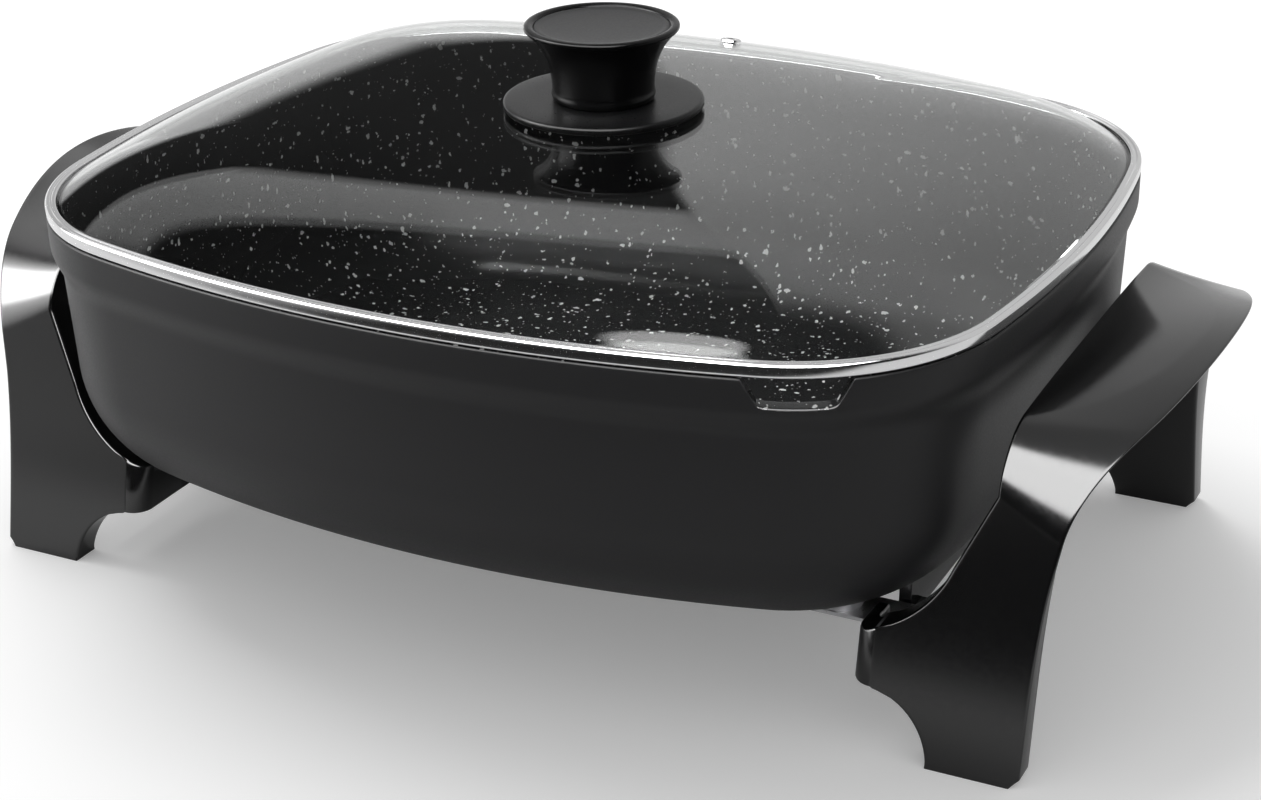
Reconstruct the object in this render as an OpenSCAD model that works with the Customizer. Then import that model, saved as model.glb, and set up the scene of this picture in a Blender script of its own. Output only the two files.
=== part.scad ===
// Countertop electric skillet. A deep cast pan with a pour notch carries a tubular
// heating element under its floor. Two moulded frames, each a handle and two legs in
// one arched piece, hold it up. A domed glass lid with a knob rests on the rim.
// Lengths in mm. Z = 0 is the tabletop, the handles lie along X, the front is -Y.

/* [Pan] */
// Length over the rim, along X
pan_length = 406; // [396:1:416]
// Width over the rim, along Y
pan_width = 344.4; // [336:0.4:352]
// Corner radius of the rim in plan
corner_radius = 84.5; // [76:0.5:92]
// Radius of the bowed long sides in plan
side_bow_radius = 538; // [500:2:600]
// Radius of the bowed ends in plan
end_bow_radius = 595; // [550:5:650]
// Height of the rim above the table
rim_height = 156.3; // [150:0.3:162]
// Height of the flat underside above the table
under_height = 45.1; // [43:0.1:48]
// Thickness of the cooking floor
floor_thickness = 5; // [4:0.5:6]
// Thickness of the wall below the collar
wall_thickness = 3.3; // [2.5:0.1:3.5]
// Height of the thick collar at the rim
collar_height = 12.4; // [10:0.2:15]
// How far the wall steps in under the collar
collar_step = 3.5; // [2:0.25:4]
// Lean of the wall between collar and bottom radius
wall_lean = 1.5; // [0.5:0.25:3]
// Outside radius between wall and floor
bottom_radius = 50; // [44:1:54]

/* [Pour notch] */
// Width of the notch at the rim
notch_width = 38; // [30:1:44]
// Width of the notch at its sill
notch_sill_width = 27; // [20:1:29]
// Depth of the notch below the rim
notch_depth = 10; // [6:0.5:11]
// Direction of the notch, measured from the X axis
notch_angle = 65; // [50:1:75]

/* [Heater] */
// Outside radius of the tubular element
element_radius = 4; // [3:0.25:4.25]
// Corner radius of the element loop
element_corner = 40; // [30:1:46]
// Distance between the two plug pins
pin_spacing = 30; // [28:1:34]
// Radius of the plug pins
pin_radius = 2.5; // [2:0.1:3]
// Bore radius of the probe tube
probe_bore_radius = 3.3; // [2.8:0.1:3.5]

/* [Handle frames] */
// Height of the handle plate at its inner edge
handle_height = 128.4; // [122:0.2:134]
// How far the handle reaches out past the pan rim
handle_reach = 58.3; // [54:0.1:62]
// Rise of the handle plate per mm outwards
handle_rise = 0.139; // [0.1:0.001:0.18]
// Thickness of the handle plate
handle_thickness = 8; // [6:0.5:9]
// Plan radius of the handle's outer edge
handle_edge_radius = 193; // [180:1:215]
// Radius of the plate's crown across its inner edge
crown_inner = 770; // [500:10:1100]
// Radius of that crown at the outer edge
crown_outer = 171; // [160:1:200]
// Radius of the bend from plate to leg at the inner edge
bend_inner = 7.8; // [5:0.2:12]
// Radius of that bend at the outer edge
bend_outer = 66.3; // [58:0.3:72]
// How far a foot's outer face stands in from the rim, along Y
foot_inset = 46.9; // [44:0.1:50]
// Lean of the legs per mm of height
leg_lean = 0.224; // [0.2:0.002:0.25]
// Thickness of a leg
leg_thickness = 12; // [9:0.5:13]
// Width of a foot along X
foot_width = 35.5; // [30:0.5:38]
// Depth of the finger scoop in the handle plate per mm
scoop_slope = 0.06; // [0.02:0.01:0.08]

/* [Supports] */
// Radius of the posts under the pan
post_radius = 8; // [6:0.5:9]
// Thickness of the steel support strips
strip_thickness = 1.5; // [1:0.25:2]
// Width of the support strips
strip_width = 18; // [14:1:20]
// Radius of the machine screws
screw_radius = 2; // [1.5:0.1:2.2]

/* [Lid] */
// Height of the steel band around the glass
band_height = 5.5; // [5:0.1:7]
// Rise of the dome from the band to its top
dome_rise = 25; // [20:0.5:30]
// Steepness of the dome's shoulder
dome_power = 4.3; // [3:0.1:6]
// Thickness of the glass
glass_thickness = 3.8; // [3:0.1:4.5]
// Radius of the vent eyelet's flange
vent_radius = 4.8; // [4:0.2:6]

/* [Knob] */
// Height of the knob above its disc
knob_height = 30.2; // [26:0.2:34]
// Radius of the knob at its top
knob_radius = 30.7; // [28:0.3:34]
// Radius of the knob's neck
neck_radius = 20.3; // [17:0.3:22]
// Radius of the disc under the knob
skirt_radius = 40; // [36:0.5:44]
// Thickness of that disc
skirt_thickness = 3.2; // [2.4:0.2:4]

/* [Hidden] */
$fn = 96;

cut = 1;
gap = 0.1;
fit_gap = 0.05;

// Plan outline: bowed sides and ends joined by corner arcs, all tangent.
half_length = pan_length / 2;
half_width = pan_width / 2;
side_centre = [0, half_width - side_bow_radius];
end_centre = [half_length - end_bow_radius, 0];
side_reach = side_bow_radius - corner_radius;
end_reach = end_bow_radius - corner_radius;
centre_gap = norm(end_centre - side_centre);
centre_dir = (end_centre - side_centre) / centre_gap;
foot_of_k = (side_reach * side_reach - end_reach * end_reach + centre_gap * centre_gap) / (2 * centre_gap);
k_height = sqrt(side_reach * side_reach - foot_of_k * foot_of_k);
corner_centre = side_centre + centre_dir * foot_of_k + [centre_dir[1], -centre_dir[0]] * k_height;
end_angle = atan2(corner_centre[1] - end_centre[1], corner_centre[0] - end_centre[0]);
side_angle = atan2(corner_centre[1] - side_centre[1], corner_centre[0] - side_centre[0]);

function polar(c, r, a) = [c[0] + r * cos(a), c[1] + r * sin(a)];
function arc(c, r, a0, a1, n) = [for (i = [0 : n - 1]) polar(c, r, a0 + (a1 - a0) * i / n)];
function arc_closed(c, r, a0, a1, n) = [for (i = [0 : n]) polar(c, r, a0 + (a1 - a0) * i / n)];
function quarter(d) = concat(
    arc(end_centre, end_bow_radius - d, 0, end_angle, 3),
    arc(corner_centre, corner_radius - d, end_angle, side_angle, 12),
    arc(side_centre, side_bow_radius - d, side_angle, 90, 5));
function turned(p, sx, sy) = [for (q = p) [q[0] * sx, q[1] * sy]];
function backwards(p) = [for (i = [len(p) - 1 : -1 : 0]) p[i]];
function side_top(d) = [0, half_width - d];
function end_tip(d) = [half_length - d, 0];
function tail(p) = [for (i = [1 : len(p) - 1]) p[i]];
function outline(d) = concat(
    quarter(d),
    [side_top(d)], turned(backwards(tail(quarter(d))), -1, 1),
    [-end_tip(d)], turned(tail(quarter(d)), -1, -1),
    [-side_top(d)], turned(backwards(tail(quarter(d))), 1, -1));
function ring_at(d, z) = [for (p = outline(d)) [p[0], p[1], z]];

// Skins a stack of equal rings, open with caps or closed on itself.
module skin(rings, closed) {
    m = len(rings[0]);
    n = len(rings);
    faces = [for (k = [0 : n - (closed ? 1 : 2)])
        for (i = [0 : m - 1])
            for (h = [0, 1])
                let (a = k * m + i, b = k * m + (i + 1) % m,
                    c = ((k + 1) % n) * m + (i + 1) % m, d = ((k + 1) % n) * m + i)
                h == 0 ? [a, c, b] : [a, d, c]];
    caps = closed ? [] : [[for (i = [0 : m - 1]) i], [for (i = [m - 1 : -1 : 0]) (n - 1) * m + i]];
    polyhedron(points = [for (r = rings) for (p = r) p], faces = concat(faces, caps));
}

// Keeps the shape as it is, drawn as a single mesh.
module as_one_mesh() {
    resize([0, 0, 0])
        children();
}

// Pan wall.
collar_wall = collar_step + wall_thickness;
fillet_inset = collar_step + wall_lean;
fillet_top = under_height + bottom_radius;
floor_top = under_height + floor_thickness;
inner_inset = fillet_inset + wall_thickness;
inner_radius = bottom_radius - floor_thickness;
floor_inset = fillet_inset + bottom_radius + 4;
collar_bottom = rim_height - collar_height;
step_drop = 3.5;
rim_round = 0.8;
function under_z(d) = d >= fillet_inset + bottom_radius ? under_height
    : fillet_top - sqrt(bottom_radius * bottom_radius - pow(fillet_inset + bottom_radius - d, 2));
outer_wall = concat(
    [[rim_round, rim_height], [0, rim_height - rim_round], [0, collar_bottom],
        [0.25 * collar_step, collar_bottom - 0.45 * step_drop], [collar_step, collar_bottom - step_drop]],
    arc_closed([fillet_inset + bottom_radius, fillet_top], bottom_radius, 180, 270, 9));
inner_wall = concat(
    arc_closed([inner_inset + inner_radius, floor_top + inner_radius], inner_radius, 270, 180, 9),
    [[collar_wall, rim_height - rim_round], [collar_wall - rim_round, rim_height]]);

notch_dir = -notch_angle;
notch_place = polar([corner_centre[0], -corner_centre[1]], corner_radius, notch_dir);
sill_height = rim_height - notch_depth;
notch_over = 3;
notch_reach = 24;
sill_round = 5;
notch_flank = atan2(notch_depth, (notch_width - notch_sill_width) / 2);
sill_arc = arc_closed([notch_sill_width / 2 - sill_round * tan(notch_flank / 2), sill_height + sill_round],
    sill_round, 270, 270 + notch_flank, 5);
notch_top_half = notch_width / 2 + notch_over / tan(notch_flank);
notch_half = concat(sill_arc, [[notch_top_half, rim_height + notch_over]]);

module pour_cut() {
    translate([notch_place[0], notch_place[1], 0])
        rotate([0, 0, notch_dir])
            rotate([90, 0, 90])
                translate([0, 0, -notch_reach / 2])
                    linear_extrude(height = notch_reach)
                        polygon(concat(notch_half, turned(backwards(notch_half), -1, 1)));
}
pan_profile = concat([[floor_inset, under_height]], backwards(outer_wall), backwards(inner_wall),
    [[floor_inset, floor_top]]);
module pan() {
    color([0.1, 0.1, 0.105])
        as_one_mesh()
            difference() {
                skin([for (p = pan_profile) ring_at(p[0], p[1])], false);
                pour_cut();
            }
}

// Heater under the floor.
loop_end_inset = 83;
loop_side_inset = 87.2;
post_side_inset = 92.2;
loop_x = half_length - loop_end_inset;
loop_y = half_width - loop_side_inset;
rib_margin = 4;
rib_half = element_radius + rib_margin;
element_roof = 0.9;
element_floor = 1;
element_z = under_height - element_radius - element_roof;
casting_z = element_z - element_radius - element_floor;
lead_y = pin_spacing / 2;
lead_bend = 14;
lead_run = 54;
block_run = 30;
block_side = 22;
pin_run = 30;
probe_wall = 1.2;
probe_start = 10;
lead_tip = loop_x + lead_run;
block_x0 = loop_x - rib_half;
block_x1 = loop_x + block_run;
block_y = lead_y + block_side;
pin_tip = lead_tip + pin_run;
probe_radius = probe_bore_radius + probe_wall;
probe_end = loop_x + probe_start;

module slab(hx, hy, r, z0, z1) {
    translate([-hx + r, -hy, z0])
        cube([2 * (hx - r), 2 * hy, z1 - z0]);
    translate([-hx, -hy + r, z0])
        cube([2 * hx, 2 * (hy - r), z1 - z0]);
    for (sx = [-1, 1])
        for (sy = [-1, 1])
            translate([sx * (hx - r), sy * (hy - r), z0])
                cylinder(r = r, h = z1 - z0);
}
module rod_x(x0, x1, y, z, r) {
    translate([x0, y, z])
        rotate([0, 90, 0])
            cylinder(r = r, h = x1 - x0);
}
module rod_y(x, y0, y1, z, r) {
    translate([x, y0, z])
        rotate([-90, 0, 0])
            cylinder(r = r, h = y1 - y0);
}
module bend(x, y, bend_r, a0, r) {
    translate([x, y, element_z])
        rotate([0, 0, a0])
            rotate_extrude(angle = 90)
                translate([bend_r, 0])
                    circle(r = r, $fn = 48);
}
module element_path(r) {
    flat_x = loop_x - element_corner;
    flat_y = loop_y - element_corner;
    bend_y = lead_y + lead_bend;
    for (s = [-1, 1]) {
        rod_x(-flat_x, flat_x, s * loop_y, element_z, r);
        rod_x(-lead_tip, -loop_x - lead_bend, s * lead_y, element_z, r);
    }
    rod_y(loop_x, -flat_y, flat_y, element_z, r);
    rod_y(-loop_x, bend_y, flat_y, element_z, r);
    rod_y(-loop_x, -flat_y, -bend_y, element_z, r);
    bend(flat_x, flat_y, element_corner, 0, r);
    bend(-flat_x, flat_y, element_corner, 90, r);
    bend(-flat_x, -flat_y, element_corner, 180, r);
    bend(flat_x, -flat_y, element_corner, 270, r);
    bend(-loop_x - lead_bend, bend_y, lead_bend, 270, r);
    bend(-loop_x - lead_bend, -bend_y, lead_bend, 0, r);
}
module heater_casting() {
    color([0.62, 0.63, 0.64])
        difference() {
            union() {
                difference() {
                    slab(loop_x + rib_half, loop_y + rib_half, element_corner + rib_half,
                        casting_z, under_height);
                    slab(loop_x - rib_half, loop_y - rib_half, element_corner - rib_half,
                        casting_z - cut, under_height + cut);
                }
                translate([-block_x1, -block_y, casting_z])
                    cube([block_x1 - block_x0, 2 * block_y, under_height - casting_z]);
            }
            element_path(element_radius + gap);
            rod_x(-block_x1 - cut, -probe_end + gap, 0, element_z, probe_radius + gap);
        }
}
module heating_element() {
    color([0.55, 0.56, 0.57])
        element_path(element_radius);
}

// Plug inlet at the left end.
pin_step = 0.5;
collar_wrap = 1.5;
collar_grip = 4;
collar_nose = 10;
collar_radius = element_radius + collar_wrap;
collar_x0 = lead_tip - collar_grip;
collar_x1 = lead_tip + collar_nose;
guard_wall = 2;
guard_back = 4;
guard_length = 28;
guard_side = 17;
guard_below = 13.2;
guard_above = 1.5;
guard_x0 = lead_tip + guard_back;
guard_x1 = guard_x0 + guard_length;
guard_half = lead_y + guard_side;
guard_low = element_z - guard_below;
guard_high = under_z(half_length - guard_x0) - guard_above;
shelf_below = 15.1;
shelf_thickness = 4;
tab_thickness = 2;
tab_length = 14;
tab_front = 6;
tab_to_post = 10;
screw_to_tab = 6;
shelf_high = under_height - shelf_below;
shelf_low = shelf_high - shelf_thickness;
tab_high = shelf_high + tab_thickness;
tab_x1 = guard_x0 + tab_front;
tab_x0 = tab_x1 - tab_length;
tab_y = half_width - post_side_inset - tab_to_post;
guard_screw_y = tab_y - screw_to_tab;
guard_screw_x = (tab_x0 + tab_x1) / 2;
small_screw = 1.5;
small_head = 3.4;
head_depth = 2.2;

module terminal_pins() {
    color([0.72, 0.72, 0.73])
        for (s = [-1, 1]) {
            rod_x(-pin_tip, -collar_x1, s * lead_y, element_z, pin_radius);
            rod_x(-collar_x1 - cut, -lead_tip, s * lead_y, element_z, pin_radius - pin_step);
        }
}
module terminal_insulators() {
    color([0.92, 0.91, 0.88])
        for (s = [-1, 1])
            difference() {
                rod_x(-collar_x1, -collar_x0, s * lead_y, element_z, collar_radius);
                rod_x(-lead_tip, -collar_x0 + cut, s * lead_y, element_z, element_radius + gap);
                rod_x(-collar_x1 - cut, -lead_tip + cut, s * lead_y, element_z, pin_radius - pin_step + gap);
            }
}
module sensor_well() {
    color([0.66, 0.66, 0.67])
        difference() {
            rod_x(-pin_tip, -probe_end, 0, element_z, probe_radius);
            rod_x(-pin_tip - cut, -probe_end - 2, 0, element_z, probe_bore_radius);
        }
}
module terminal_guard() {
    w = guard_wall;
    color([0.07, 0.07, 0.072])
        difference() {
            union() {
                translate([-guard_x1, -guard_half, guard_low])
                    cube([guard_x1 - guard_x0, 2 * guard_half, guard_high - guard_low]);
                translate([-tab_x1, -tab_y, shelf_high + fit_gap])
                    cube([tab_x1 - guard_x0 + w, 2 * tab_y, tab_high - shelf_high - fit_gap]);
                for (s = [-1, 1])
                    translate([-tab_x1, s > 0 ? guard_half - w : -tab_y, shelf_high + fit_gap])
                        cube([tab_x1 - tab_x0, tab_y - guard_half + w, tab_high - shelf_high - fit_gap]);
            }
            translate([-guard_x1 - cut, -guard_half + w, guard_low + w])
                cube([guard_x1 - guard_x0 + cut - w, 2 * (guard_half - w), guard_high - guard_low - 2 * w]);
            for (s = [-1, 1]) {
                rod_x(-guard_x0 - w - cut, -guard_x0 + cut, s * lead_y, element_z, collar_radius + gap);
                translate([-guard_screw_x, s * guard_screw_y, shelf_high - cut])
                    cylinder(r = small_screw + gap, h = tab_high - shelf_high + 2 * cut);
            }
            rod_x(-guard_x0 - w - cut, -guard_x0 + cut, 0, element_z, probe_radius + gap);
        }
}
module guard_screws() {
    color([0.5, 0.5, 0.51])
        for (s = [-1, 1])
            translate([-guard_screw_x, s * guard_screw_y, 0]) {
                translate([0, 0, shelf_low - 2])
                    cylinder(r = small_screw, h = tab_high - shelf_low + 2 + cut);
                translate([0, 0, tab_high + fit_gap])
                    cylinder(r = small_head, h = head_depth);
            }
}

// Posts and strips between pan and frames.
post_gap = 2;
strip_gap = 1.2;
frame_screw_inset = 29;
strip_end = 12;
post_x = loop_x + rib_half + post_gap + post_radius;
post_y = half_width - post_side_inset;
strip_high = casting_z - strip_gap;
strip_low = strip_high - strip_thickness;
frame_screw_x = half_length - frame_screw_inset;
strip_tip = frame_screw_x + strip_end;
head_radius = 2 * screw_radius;
screw_head = 2.6;
screw_bite = 8;

module at_posts() {
    for (sx = [-1, 1])
        for (sy = [-1, 1])
            translate([sx * post_x, sy * post_y, 0])
                children();
}
module at_frame_screws() {
    for (sx = [-1, 1])
        for (sy = [-1, 1])
            translate([sx * frame_screw_x, sy * post_y, 0])
                children();
}
module support_posts() {
    color([0.62, 0.63, 0.64])
        at_posts()
            difference() {
                translate([0, 0, strip_high])
                    cylinder(r = post_radius, h = under_height - strip_high);
                translate([0, 0, strip_high - cut])
                    cylinder(r = screw_radius + gap, h = screw_bite + 2 * cut);
            }
}
module support_bracket(side) {
    w = strip_width;
    color([0.6, 0.61, 0.62])
        difference() {
            union() {
                translate([side * post_x - w / 2, -post_y - w / 2, strip_low])
                    cube([w, 2 * post_y + w, strip_thickness - fit_gap]);
                for (sy = [-1, 1])
                    translate([side > 0 ? post_x : -strip_tip, sy * post_y - w / 2, strip_low])
                        cube([strip_tip - post_x, w, strip_thickness - fit_gap]);
            }
            for (sy = [-1, 1])
                for (x = [post_x, frame_screw_x])
                    translate([side * x, sy * post_y, strip_low - cut])
                        cylinder(r = screw_radius + 2 * gap, h = strip_thickness + 2 * cut);
        }
}
module support_bracket_left() {
    support_bracket(-1);
}
module support_bracket_right() {
    support_bracket(1);
}
module bracket_screws() {
    color([0.5, 0.5, 0.51])
        at_posts() {
            translate([0, 0, strip_low - screw_head - fit_gap])
                cylinder(r = head_radius, h = screw_head);
            translate([0, 0, strip_low - cut])
                cylinder(r = screw_radius, h = strip_thickness + screw_bite);
        }
}
module frame_washers() {
    color([0.55, 0.55, 0.56])
        at_frame_screws()
            difference() {
                translate([0, 0, shelf_high + fit_gap])
                    cylinder(r = 3 * screw_radius, h = strip_low - shelf_high - 2 * fit_gap);
                translate([0, 0, shelf_high - cut])
                    cylinder(r = screw_radius + 2 * gap, h = strip_low - shelf_high + 2 * cut);
            }
}
nut_height = 3.2;
nut_flats = 1.85 * screw_radius;
screw_tail = 2;
module frame_screws() {
    color([0.5, 0.5, 0.51])
        at_frame_screws() {
            translate([0, 0, shelf_low - screw_head - fit_gap])
                cylinder(r = head_radius, h = screw_head);
            translate([0, 0, shelf_low - cut])
                cylinder(r = screw_radius, h = strip_high - shelf_low + cut + nut_height + screw_tail);
        }
}
module frame_nuts() {
    color([0.55, 0.55, 0.56])
        at_frame_screws()
            difference() {
                translate([0, 0, strip_high + fit_gap])
                    linear_extrude(height = nut_height)
                        polygon([for (i = [0 : 5]) polar([0, 0], nut_flats / cos(30), 60 * i)]);
                translate([0, 0, strip_high - cut])
                    cylinder(r = screw_radius + fit_gap, h = nut_height + 2 * cut);
            }
}

// Handle frames: an arched strap, its two ends the legs, and a cross wall under the pan.
// Across the top the strap is an arc, rounded into straight legs that lean in.
plate_gap = 1.5;
leg_gap = 1;
foot_reach = 21.7;
plate_x = half_length + plate_gap;
lip_x = half_length + handle_reach;
foot_y = half_width - foot_inset;
foot_out = half_length + foot_reach;
foot_in = foot_out - foot_width;
foot_chamfer = 3.5;
arm_drop = 0.6;
arm_depth = 19.2;
arm_run = 32.2;
arm_high = under_height - arm_drop;
arm_low = arm_high - arm_depth;
arm_x = foot_in - arm_run;
arm_round = 8;
arch_radius = 27.3;
arch_x = foot_in - arch_radius;
strap_x = arm_x + arm_round;
scoop_radius = 45.5;
scoop_back = 8.5;
scoop_drop = 38.7;
scoop_stop = 20;
scoop_x = arm_x - scoop_back;
scoop_z = handle_height - scoop_drop;
leg_top = scoop_z - scoop_radius * sin(scoop_stop);
flare = 13.3;
flare_drop = 10.4;
flare_power = 3.35;
flare_height = handle_height - flare_drop;
edge_bevel = 5;
least_bend = 4;
lean_angle = atan(leg_lean);
lean_square = 1 + leg_lean * leg_lean;
thumb_back = 43.8;
thumb_x = plate_x - thumb_back;
thumb_radius = 89.5;
columns = 8;

function mix(a, b, t) = a + (b - a) * t;
function plate_z(x) = handle_height + handle_rise * (x - plate_x);
function leg_y(z) = foot_y - leg_lean * z;
function lip_at(y) = lip_x - handle_edge_radius + sqrt(handle_edge_radius * handle_edge_radius - y * y);
function out_share(x) = (x - plate_x) / (lip_x - plate_x);
function crown_r(x) = 1 / mix(1 / crown_inner, 1 / crown_outer, out_share(x));
function top_bend(x) = mix(bend_inner, bend_outer, out_share(x));
function low_bend(x) = max(least_bend, top_bend(x) - handle_thickness);

// Centre of the bend circle that touches the crown arc inside and the leg line.
function bend_centre(x, r, drop, inward) =
    let (base = plate_z(x) - crown_r(x), line = foot_y - inward - r * sqrt(lean_square),
        b = line * leg_lean + base,
        c = line * line + base * base - pow(crown_r(x) - drop - r, 2),
        z = (b + sqrt(b * b - lean_square * c)) / lean_square)
    [line - leg_lean * z, z];

// Point of the section at x: t runs 0 to 1 along the crown and 1 to 2 round the bend.
function section(x, r, drop, inward, t) =
    let (c = bend_centre(x, r, drop, inward), base = plate_z(x) - crown_r(x),
        join = atan2(c[1] - base, c[0]), big = crown_r(x) - drop,
        a = t < 1 ? mix(90, join, t) : mix(join, lean_angle, t - 1))
    t < 1 ? [x, big * cos(a), base + big * sin(a)] : [x, c[0] + r * cos(a), c[1] + r * sin(a)];
function top_pt(x, t) = section(x, top_bend(x), 0, 0, t);
function low_pt(x, t) = section(x, low_bend(x), handle_thickness, leg_thickness, t);
function lip_of(t, x, n) = n == 0 ? x : lip_of(t, lip_at(top_pt(x, t)[1]), n - 1);
function thumb_drop(x, y) = scoop_slope * max(0, thumb_radius - norm([x - thumb_x, y]));
function scooped(p) = [p[0], p[1], p[2] - thumb_drop(p[0], p[1])];
function fractions() = [for (j = [0 : columns - 1]) j / (columns - 1)];
function arch_ring(t) = let (b = lip_of(t, lip_x, 9))
    concat([for (f = fractions()) scooped(top_pt(mix(plate_x, b, f), t))],
        [for (f = backwards(fractions())) low_pt(mix(plate_x, b - edge_bevel, f), t)]);

// Outside of the pan's corner, where the legs pass it.
function fillet_share(z) = min(1, (fillet_top - z) / bottom_radius);
function inset_at(z) = z > fillet_top
    ? mix(fillet_inset, collar_step, (z - fillet_top) / (collar_bottom - fillet_top))
    : fillet_inset + bottom_radius * (1 - sqrt(1 - pow(fillet_share(z), 2)));
function pan_x(y, z) = corner_centre[0]
    + sqrt(pow(corner_radius - inset_at(z), 2) - pow(max(0, y - corner_centre[1]), 2));
function clear_x(y, z) = z < arm_high ? strap_x : pan_x(y, z) + leg_gap;
function cleared(p) = [max(p[0], clear_x(p[1], p[2])), p[1], p[2]];

function leg_out(z) = foot_out + flare * pow(z / flare_height, flare_power) - max(0, foot_chamfer - z);
function arch_in(z) = arch_x + sqrt(max(0, arch_radius * arch_radius - pow(z - arm_low + arch_radius, 2)));
function scoop_in(z) = scoop_x + sqrt(max(0, scoop_radius * scoop_radius - pow(scoop_z - z, 2)));
function leg_in(z) = max(strap_x, z <= arm_low ? arch_in(z) : scoop_in(z));
function leg_ring(z) = let (a = leg_in(z), b = leg_out(z), c = b - edge_bevel * pow(z / flare_height, 2),
        y = leg_y(z), back = y - leg_thickness)
    concat([for (t = fractions()) [mix(max(a, clear_x(y, z)), b, t), y, z]],
        [for (t = backwards(fractions())) [mix(max(a, clear_x(back, z)), c, t), back, z]]);
function between(low, high, t) = [for (k = [0 : len(low) - 1]) cleared(mix(low[k], high[k], t))];

leg_heights = concat([0, foot_chamfer], [for (t = [0.4, 0.6, 0.75, 0.87, 0.95, 1]) t * arm_low],
    [for (a = [68, 62, 55, 47, 38, 29, scoop_stop]) scoop_z - scoop_radius * sin(a)]);
half_rings = concat([for (z = leg_heights) leg_ring(z)],
    [for (t = [0.25, 0.5, 0.75]) between(leg_ring(leg_top), arch_ring(2), t)],
    [for (i = [0 : 7]) arch_ring(2 - i / 7)],
    [for (t = [0.84, 0.67, 0.5, 0.34, 0.17]) arch_ring(t)]);
function far_side(ring) = [for (p = ring) [p[0], -p[1], p[2]]];
strap_rings = concat(half_rings, [arch_ring(0)], [for (r = backwards(half_rings)) far_side(r)]);

yoke_inset = 0.3;
yoke_wall = 5;
yoke_length = 21;
yoke_end = arm_x + yoke_length;
yoke_arm = leg_thickness - 1;
yoke_inner_round = 4;
function yoke_half(z) = let (w = leg_y(z) - yoke_inset)
    concat([[yoke_end, w]],
        arc_closed([arm_x + arm_round, w - arm_round], arm_round, 90, 180, 5));
function yoke_half_in(z) = let (w = leg_y(z) - yoke_inset - yoke_arm, r = yoke_inner_round)
    concat([[yoke_end, w]], arc_closed([arm_x + yoke_wall + r, w - r], r, 90, 180, 3));
function yoke_ring(z) = let (p = concat(yoke_half(z), turned(backwards(yoke_half(z)), 1, -1),
        turned(yoke_half_in(z), 1, -1), backwards(yoke_half_in(z))))
    [for (q = p) [q[0], q[1], z]];
shelf_start = 3;
shelf_side = 15;
shelf_bite = 2;
slot_gap = 2;
window_gap = 4;
shelf_x0 = arm_x + shelf_start;
shelf_x1 = frame_screw_x + strip_end;
shelf_y = post_y - strip_width / 2 - shelf_side;
strip_notch = strip_width / 2 + slot_gap;
window_half = guard_half + window_gap;

module frame_body() {
    difference() {
        union() {
            skin(backwards(strap_rings), false);
            skin([yoke_ring(arm_low), yoke_ring(arm_high)], false);
            for (s = [0, 1])
                mirror([0, s, 0])
                    translate([shelf_x0, shelf_y, shelf_low])
                        cube([shelf_x1 - shelf_x0, leg_y(shelf_high) - leg_thickness + shelf_bite - shelf_y,
                            shelf_high - shelf_low]);
        }
        for (s = [-1, 1]) {
            translate([arm_x - cut, s * post_y - strip_notch, strip_low - cut])
                cube([yoke_wall + 2 * cut, 2 * strip_notch, arm_high - strip_low + 2 * cut]);
            translate([frame_screw_x, s * post_y, shelf_low - cut])
                cylinder(r = screw_radius + 3 * gap, h = shelf_high - shelf_low + 2 * cut);
        }
    }
}
module handle_frame_right() {
    color([0.16, 0.16, 0.165])
        as_one_mesh()
            frame_body();
}
module handle_frame_left() {
    color([0.16, 0.16, 0.165])
        as_one_mesh()
            mirror([1, 0, 0])
                difference() {
                    frame_body();
                    translate([arm_x - cut, -window_half, shelf_high])
                        cube([yoke_wall + 2 * cut, 2 * window_half, arm_high - shelf_high + cut]);
                    for (s = [-1, 1])
                        translate([guard_screw_x, s * guard_screw_y, shelf_low - cut])
                            cylinder(r = small_screw + gap, h = shelf_high - shelf_low + 2 * cut);
                }
}

// Lid: glass in a steel band.
rest_gap = 0.3;
band_low = rim_height + rest_gap;
band_high = band_low + band_height;
band_steel = 1;
band_wall = 1.2;
band_lip = 5;
brim_inset = 1.5;
brim_high = band_high - band_steel - gap;
brim_low = band_low + band_steel + 2 * gap;
dome_top = brim_high + dome_rise;
hole_radius = 5.5;
band_profile = [[0.7, band_low], [0, band_low + 0.7], [0, band_high - 1.6], [0.45, band_high - 0.5],
    [1.5, band_high], [band_lip, band_high], [band_lip, band_high - band_steel],
    [band_wall, band_high - band_steel], [band_wall, band_low + band_steel],
    [band_lip + 1, band_low + band_steel], [band_lip + 1, band_low]];

function dome_z(f) = brim_high + dome_rise * (1 - pow(f, dome_power));
function dome_ring(f, drop) = [for (p = outline(band_lip)) [p[0] * f, p[1] * f, dome_z(f) - drop]];
function hole_ring(z) = [for (p = outline(band_lip)) let (n = norm(p))
    [p[0] * hole_radius / n, p[1] * hole_radius / n, z]];
dome_steps = [0.99, 0.965, 0.93, 0.89, 0.84, 0.77, 0.69, 0.58, 0.44, 0.27];
glass_rings = concat(
    [ring_at(brim_inset, brim_low), ring_at(brim_inset, brim_high), ring_at(band_lip, brim_high)],
    [for (f = dome_steps) dome_ring(f, 0)],
    [hole_ring(dome_top), hole_ring(dome_top - glass_thickness)],
    [for (f = [0.3, 0.5, 0.65, 0.78, 0.87, 0.95]) dome_ring(f, glass_thickness)],
    [ring_at(band_lip + 2.6, brim_low)]);

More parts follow.
